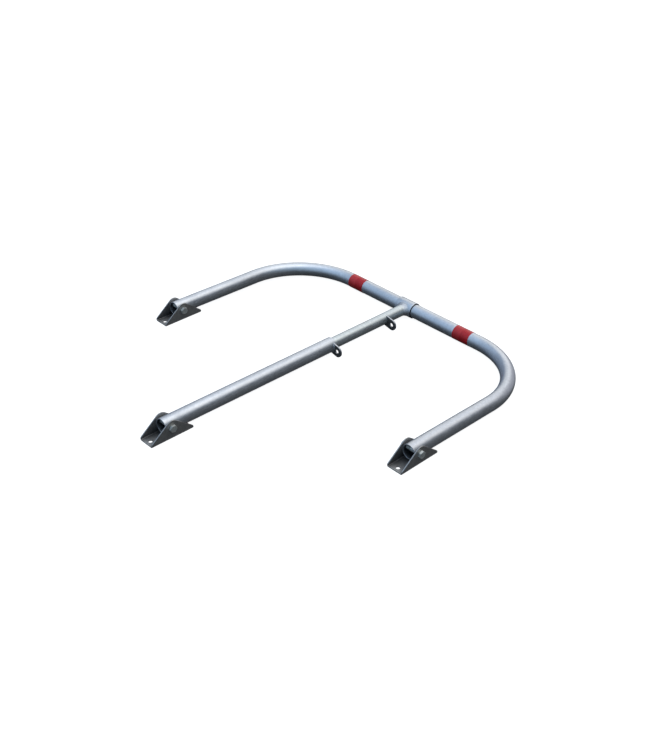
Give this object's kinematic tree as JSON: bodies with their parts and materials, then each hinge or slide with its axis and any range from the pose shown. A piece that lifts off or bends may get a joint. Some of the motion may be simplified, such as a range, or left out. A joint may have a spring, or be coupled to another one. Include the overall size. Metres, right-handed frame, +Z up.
{
  "type": "folding parking barrier",
  "caption": "Fold-down parking barrier: tube hoop on hinged channel feet, with a telescopic strut, a sleeve on the crossbar and padlock lugs. Lying flat.",
  "frame": {"origin": "on the ground, under the middle of the folded barrier's box", "axes": "+Z up; +Y from the feet towards the crossbar; +X along the crossbar, to the side with the padlock lugs and bolt heads"},
  "size_m": [1.0176, 0.986, 0.0535],
  "materials": {
    "silver_paint": "satin",
    "foot_paint": "satin",
    "galvanised_fasteners": "zinc plated",
    "red_tape": "reflective film"
  },
  "bodies": {
    "ground_feet": {"left_foot_bracket": "foot_paint", "left_pivot_bolt": "galvanised_fasteners", "left_pivot_washer": "galvanised_fasteners", "left_pivot_nut": "galvanised_fasteners", "right_foot_bracket": "foot_paint", "right_pivot_bolt": "galvanised_fasteners", "right_pivot_washer": "galvanised_fasteners", "right_pivot_nut": "galvanised_fasteners"},
    "hoop": {"hoop_tube": "silver_paint", "left_reflective_band": "red_tape", "right_reflective_band": "red_tape"},
    "strut_upper": {"crossbar_sleeve": "silver_paint", "sleeve_weld": "silver_paint", "strut_inner_tube": "silver_paint", "upper_padlock_lug": "silver_paint", "upper_lug_weld": "silver_paint"},
    "strut_lower": {"strut_outer_tube": "silver_paint", "lower_padlock_lug": "silver_paint", "lower_lug_weld_front": "silver_paint", "lower_lug_weld_rear": "silver_paint"},
    "centre_foot": {"centre_foot_bracket": "foot_paint", "centre_pivot_bolt": "galvanised_fasteners", "centre_pivot_washer": "galvanised_fasteners", "centre_pivot_nut": "galvanised_fasteners"}
  },
  "joints": [
    {"name": "hoop_raise", "type": "hinge", "parent": "ground_feet", "child": "hoop", "pos_m": [0.00095, -0.04804, 0.032], "axis": [1, 0, 0], "range_deg": [0, 82.85]},
    {"name": "sleeve_swivel", "type": "hinge", "parent": "hoop", "child": "strut_upper", "pos_m": [-0.01905, 0.4689, 0.02415], "axis": [1, 0, 0], "range_deg": [-33.81, 0]},
    {"name": "strut_slide", "type": "slide", "parent": "strut_upper", "child": "strut_lower", "axis": [0, 1, -0.0088], "range_m": [0, 0.2141]},
    {"name": "centre_foot_tilt", "type": "hinge", "parent": "strut_lower", "child": "centre_foot", "pos_m": [-0.01905, -0.42805, 0.032], "axis": [1, 0, 0], "range_deg": [-49.07, 0]}
  ],
  "couplings": [
    {"joint": "sleeve_swivel", "follows": "hoop_raise", "ratio": -0.40794},
    {"joint": "strut_slide", "follows": "hoop_raise", "m_per_rad": 0.14798},
    {"joint": "centre_foot_tilt", "follows": "hoop_raise", "ratio": -0.59206}
  ]
}
